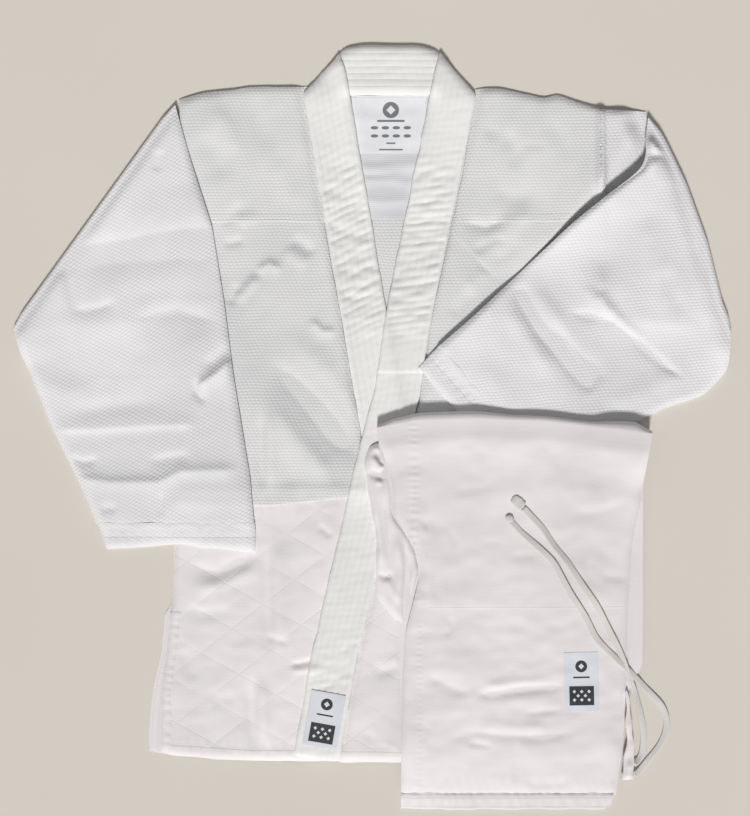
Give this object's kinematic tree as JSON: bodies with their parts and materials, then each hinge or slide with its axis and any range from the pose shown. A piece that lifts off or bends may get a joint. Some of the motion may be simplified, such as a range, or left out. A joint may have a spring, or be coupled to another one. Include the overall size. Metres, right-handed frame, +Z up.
{
  "type": "martial arts uniform",
  "caption": "White judo-style training uniform laid flat: wrap jacket with stitched lapels, its sleeves folded down, and drawstring trousers folded at the knee on top.",
  "frame": {"origin": "centre of the folded uniform's outline, on the table that it lies on", "axes": "+X across the jacket towards the wearer's left side, +Y from the hem to the collar, +Z up from the table"},
  "size_m": [0.79, 0.838, 0.0314],
  "materials": {
    "rice_grain_weave": "thick white cotton in a raised rice-grain weave, matt",
    "lapel_canvas": "warm white canvas band with close rows of stitching, matt",
    "quilted_skirt": "white cotton with stitched diamond quilting, matt",
    "plain_lining": "thin plain white cotton lining, matt",
    "trouser_cotton": "plain white cotton twill, matt, softly creased",
    "label_cloth": "smooth pale grey woven label, slight sheen",
    "drawstring_tape": "flat woven white cotton tape, matt"
  },
  "bodies": {
    "jacket": {"back_body": "rice_grain_weave", "back_skirt": "quilted_skirt", "neck_lining": "plain_lining", "neck_label": "label_cloth", "neck_band": "lapel_canvas", "right_front_body": "rice_grain_weave", "right_front_skirt": "quilted_skirt", "right_lapel": "lapel_canvas", "right_shoulder_patch": "rice_grain_weave", "right_vent_facing": "quilted_skirt", "left_front_body": "rice_grain_weave", "left_front_skirt": "quilted_skirt", "left_lapel": "lapel_canvas", "left_shoulder_patch": "rice_grain_weave", "left_vent_facing": "quilted_skirt", "lapel_label": "label_cloth", "right_sleeve_root_back": "rice_grain_weave", "right_sleeve_root_front": "rice_grain_weave", "left_sleeve_root_back": "rice_grain_weave", "left_sleeve_root_front": "rice_grain_weave"},
    "right_sleeve": {"right_sleeve_front": "rice_grain_weave", "right_sleeve_back": "rice_grain_weave", "right_cuff_hem": "rice_grain_weave"},
    "left_sleeve": {"left_sleeve_front": "rice_grain_weave", "left_sleeve_back": "rice_grain_weave", "left_cuff_hem": "rice_grain_weave"},
    "trousers_legs": {"left_leg_front": "trouser_cotton", "left_leg_back": "trouser_cotton", "right_leg_back": "trouser_cotton", "right_leg_front": "trouser_cotton", "left_leg_hem": "trouser_cotton", "right_leg_hem": "trouser_cotton", "left_knee_patch_lower": "trouser_cotton", "right_knee_patch_lower": "trouser_cotton"},
    "trousers_waist": {"right_thigh_front": "trouser_cotton", "right_thigh_back": "trouser_cotton", "left_thigh_back": "trouser_cotton", "left_thigh_front": "trouser_cotton", "right_knee_patch_upper": "trouser_cotton", "left_knee_patch_upper": "trouser_cotton", "waistband": "trouser_cotton", "crotch_gusset": "trouser_cotton", "side_slit_gather": "trouser_cotton", "trouser_label": "label_cloth", "drawstring_long_end": "drawstring_tape", "drawstring_short_end": "drawstring_tape", "drawstring_knot": "drawstring_tape", "drawstring_tab": "drawstring_tape"}
  },
  "joints": [
    {"name": "right_sleeve_fold", "type": "hinge", "parent": "jacket", "child": "right_sleeve", "pos_m": [-0.214, 0.359, 0.00445], "axis": [-0.5926, -0.8055, 0], "range_deg": [0, 170]},
    {"name": "left_sleeve_fold", "type": "hinge", "parent": "jacket", "child": "left_sleeve", "pos_m": [0.349, 0.27, 0.0074], "axis": [-0.348, 0.9375, 0], "range_deg": [0, 170]},
    {"name": "trousers_turn", "type": "hinge", "parent": "jacket", "child": "trousers_legs", "pos_m": [0.15, -0.421, 0.02055], "axis": [1, 0, 0], "range_deg": [0, 170]},
    {"name": "knee_fold", "type": "hinge", "parent": "trousers_legs", "child": "trousers_waist", "pos_m": [0.15, 0.016, 0.02055], "axis": [-1, 0, 0], "range_deg": [0, 165]}
  ],
  "couplings": [
    {"joint": "left_sleeve_fold", "follows": "trousers_turn", "ratio": 1}
  ]
}
